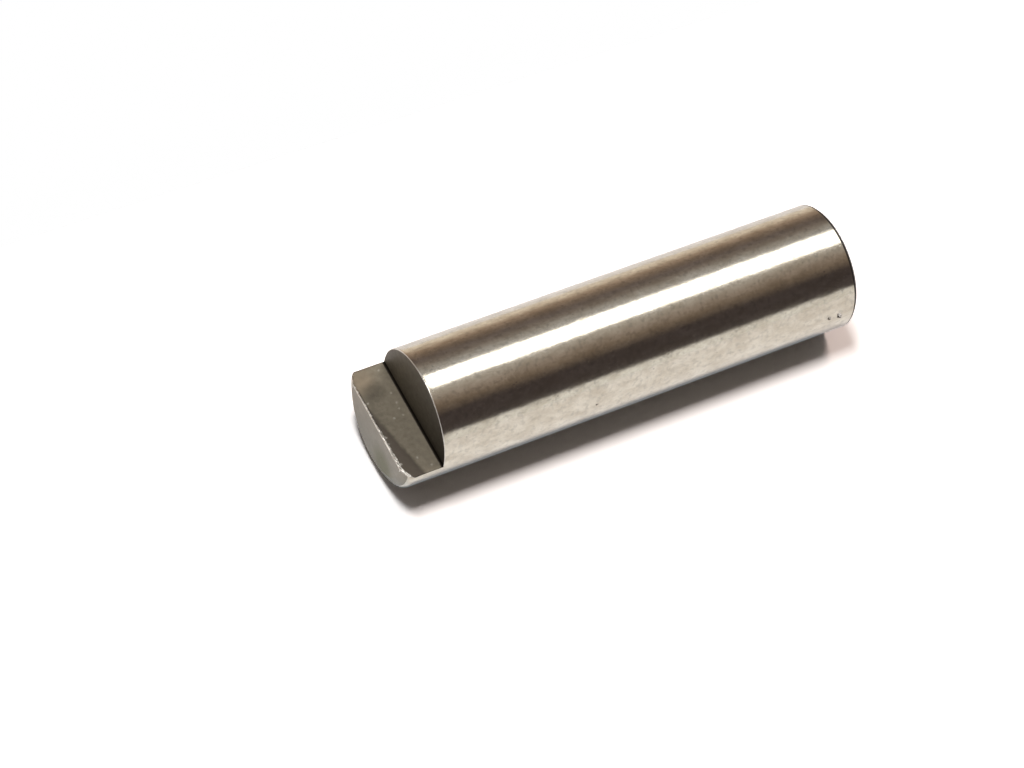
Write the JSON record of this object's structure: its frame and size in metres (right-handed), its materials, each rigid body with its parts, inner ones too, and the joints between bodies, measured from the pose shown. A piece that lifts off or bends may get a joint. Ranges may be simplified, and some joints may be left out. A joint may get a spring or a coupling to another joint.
{
  "type": "parking arm shaft",
  "caption": "Plain ground steel pin with a half-moon tang milled on one end, on which a parking arm swings.",
  "frame": {"origin": "centre of the plain end, on which the shaft stands", "axes": "+Z along the shaft's axis, towards the half-moon tang; the flat of the tang faces -Y"},
  "size_m": [0.012, 0.012, 0.0467],
  "materials": {
    "ground_steel": "hardened and centreless ground, bright, with a milled tang and shoulder"
  },
  "bodies": {
    "root": {"arm_shaft": "ground_steel"}
  },
  "joints": []
}
